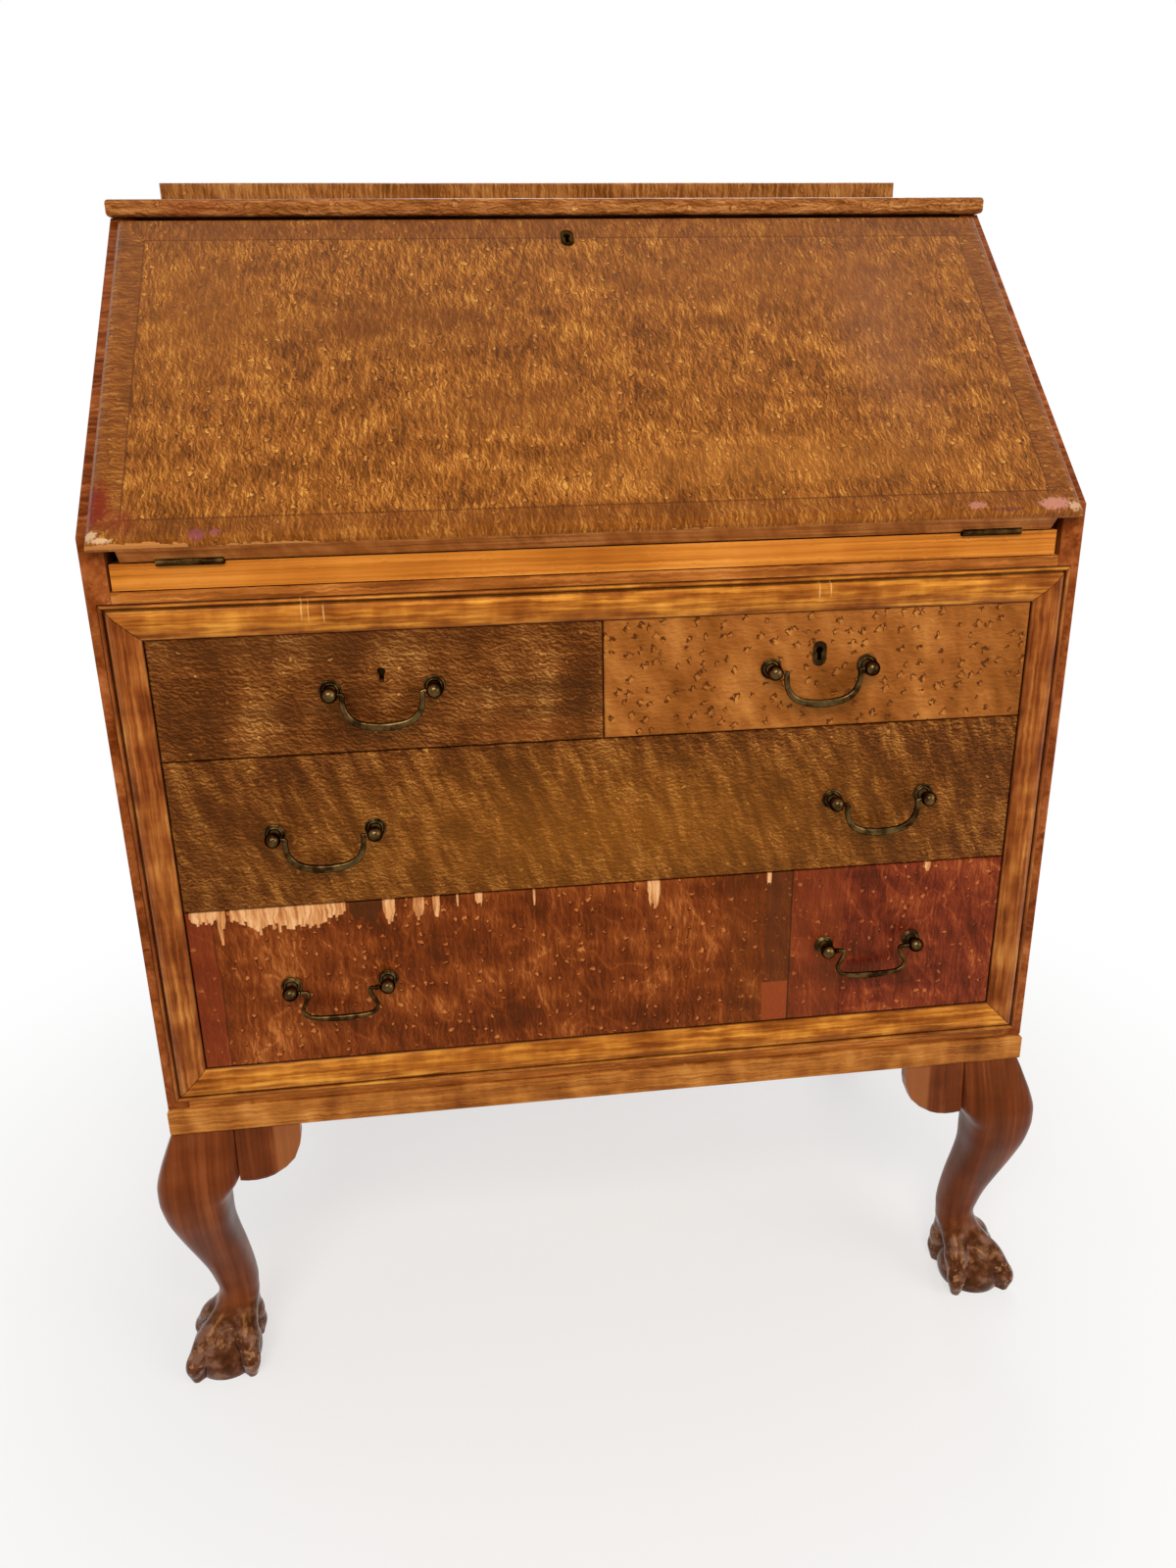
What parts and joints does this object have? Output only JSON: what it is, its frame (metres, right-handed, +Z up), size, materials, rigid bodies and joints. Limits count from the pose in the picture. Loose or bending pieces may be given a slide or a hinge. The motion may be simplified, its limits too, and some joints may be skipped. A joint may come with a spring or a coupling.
{
  "type": "slant-front desk",
  "caption": "Wooden writing desk with a sloping fall that turns down on hinges and stays, drawers with swinging bail handles, and cabriole legs with ball-and-claw feet.",
  "frame": {"origin": "centre of the desk's footprint, on the floor", "axes": "+X to the right as seen from the front, +Y to the back, +Z up; the drawers and the fall face -Y"},
  "size_m": [0.8008, 0.4908, 1.0466],
  "materials": {
    "side_wood": "semi-gloss french polish, worn",
    "fall_veneer": "semi-gloss french polish over mottled veneer",
    "moulding_wood": "semi-gloss french polish",
    "bed_wood": "satin, lightly finished",
    "drawer_dark": "semi-gloss french polish",
    "drawer_light": "semi-gloss french polish",
    "drawer_mottled": "semi-gloss french polish",
    "drawer_red": "semi-gloss french polish, chipped veneer",
    "leg_wood": "semi-gloss french polish",
    "inside_wood": "unfinished",
    "old_brass": "dark with age, polished on the high parts",
    "dark_steel": "dull, dark"
  },
  "bodies": {
    "case": {"side_left": "side_wood", "side_right": "side_wood", "top_board": "side_wood", "gallery": "fall_veneer", "back_panel": "inside_wood", "bottom_board": "inside_wood", "lower_rail": "moulding_wood", "upper_rail": "moulding_wood", "bed_board": "bed_wood", "dustboard_middle": "inside_wood", "dustboard_upper": "inside_wood", "drawer_divider": "inside_wood", "pigeonhole_unit": "inside_wood", "plinth": "moulding_wood", "frame_moulding_top": "moulding_wood", "frame_moulding_bottom": "moulding_wood", "frame_moulding_left": "moulding_wood", "frame_moulding_right": "moulding_wood", "leg_front_left": "leg_wood", "leg_front_right": "leg_wood", "leg_rear_left": "leg_wood", "leg_rear_right": "leg_wood", "knee_ear_left": "leg_wood", "knee_ear_right": "leg_wood", "hinge_bed_leaf_left": "old_brass", "hinge_bed_leaf_right": "old_brass"},
    "fall": {"fall_panel": "fall_veneer", "fall_lock": "dark_steel", "hinge_fall_leaf_left": "old_brass", "hinge_fall_leaf_right": "old_brass"},
    "stay_left": {"stay_arm_left": "dark_steel"},
    "stay_right": {"stay_arm_right": "dark_steel"},
    "drawer_lower": {"drawer_lower_front": "drawer_red", "drawer_lower_box": "inside_wood", "handle_lower_left_post_left": "old_brass", "handle_lower_left_post_right": "old_brass", "handle_lower_right_post_left": "old_brass", "handle_lower_right_post_right": "old_brass"},
    "drawer_middle": {"drawer_middle_front": "drawer_mottled", "drawer_middle_box": "inside_wood", "handle_middle_left_post_left": "old_brass", "handle_middle_left_post_right": "old_brass", "handle_middle_right_post_left": "old_brass", "handle_middle_right_post_right": "old_brass"},
    "drawer_upper_left": {"drawer_upper_left_front": "drawer_dark", "drawer_upper_left_box": "inside_wood", "drawer_upper_left_lock": "dark_steel", "handle_upper_left_post_left": "old_brass", "handle_upper_left_post_right": "old_brass"},
    "drawer_upper_right": {"drawer_upper_right_front": "drawer_light", "drawer_upper_right_box": "inside_wood", "drawer_upper_right_lock": "dark_steel", "handle_upper_right_post_left": "old_brass", "handle_upper_right_post_right": "old_brass"},
    "bail_lower_left": {"handle_lower_left_bail": "old_brass"},
    "bail_lower_right": {"handle_lower_right_bail": "old_brass"},
    "bail_middle_left": {"handle_middle_left_bail": "old_brass"},
    "bail_middle_right": {"handle_middle_right_bail": "old_brass"},
    "bail_upper_left": {"handle_upper_left_bail": "old_brass"},
    "bail_upper_right": {"handle_upper_right_bail": "old_brass"}
  },
  "joints": [
    {"name": "fall_hinge", "type": "hinge", "parent": "case", "child": "fall", "pos_m": [0, -0.2272, 0.7486], "axis": [1, 0, 0], "range_deg": [0, 137.29]},
    {"name": "stay_left_pivot", "type": "hinge", "parent": "case", "child": "stay_left", "pos_m": [-0.3583, -0.211, 0.768], "axis": [1, 0, 0], "range_deg": [0, 146.9]},
    {"name": "stay_right_pivot", "type": "hinge", "parent": "case", "child": "stay_right", "pos_m": [0.3583, -0.211, 0.768], "axis": [1, 0, 0], "range_deg": [0, 146.9]},
    {"name": "drawer_lower_slide", "type": "slide", "parent": "case", "child": "drawer_lower", "axis": [0, -1, 0], "range_m": [0, 0.3]},
    {"name": "drawer_middle_slide", "type": "slide", "parent": "case", "child": "drawer_middle", "axis": [0, -1, 0], "range_m": [0, 0.3]},
    {"name": "drawer_upper_left_slide", "type": "slide", "parent": "case", "child": "drawer_upper_left", "axis": [0, -1, 0], "range_m": [0, 0.3]},
    {"name": "drawer_upper_right_slide", "type": "slide", "parent": "case", "child": "drawer_upper_right", "axis": [0, -1, 0], "range_m": [0, 0.3]},
    {"name": "bail_lower_left_swing", "type": "hinge", "parent": "drawer_lower", "child": "bail_lower_left", "pos_m": [-0.228, -0.2373, 0.395], "axis": [-1, 0, 0], "range_deg": [-17, 85]},
    {"name": "bail_lower_right_swing", "type": "hinge", "parent": "drawer_lower", "child": "bail_lower_right", "pos_m": [0.228, -0.2373, 0.395], "axis": [-1, 0, 0], "range_deg": [-17, 85]},
    {"name": "bail_middle_left_swing", "type": "hinge", "parent": "drawer_middle", "child": "bail_middle_left", "pos_m": [-0.228, -0.2373, 0.5315], "axis": [-1, 0, 0], "range_deg": [-17, 85]},
    {"name": "bail_middle_right_swing", "type": "hinge", "parent": "drawer_middle", "child": "bail_middle_right", "pos_m": [0.228, -0.2373, 0.5315], "axis": [-1, 0, 0], "range_deg": [-17, 85]},
    {"name": "bail_upper_left_swing", "type": "hinge", "parent": "drawer_upper_left", "child": "bail_upper_left", "pos_m": [-0.1745, -0.2373, 0.6461], "axis": [-1, 0, 0], "range_deg": [-17, 85]},
    {"name": "bail_upper_right_swing", "type": "hinge", "parent": "drawer_upper_right", "child": "bail_upper_right", "pos_m": [0.1713, -0.2373, 0.6461], "axis": [-1, 0, 0], "range_deg": [-17, 85]}
  ],
  "couplings": [
    {"joint": "stay_left_pivot", "follows": "fall_hinge", "ratio": 1.0688},
    {"joint": "stay_right_pivot", "follows": "fall_hinge", "ratio": 1.0688}
  ]
}
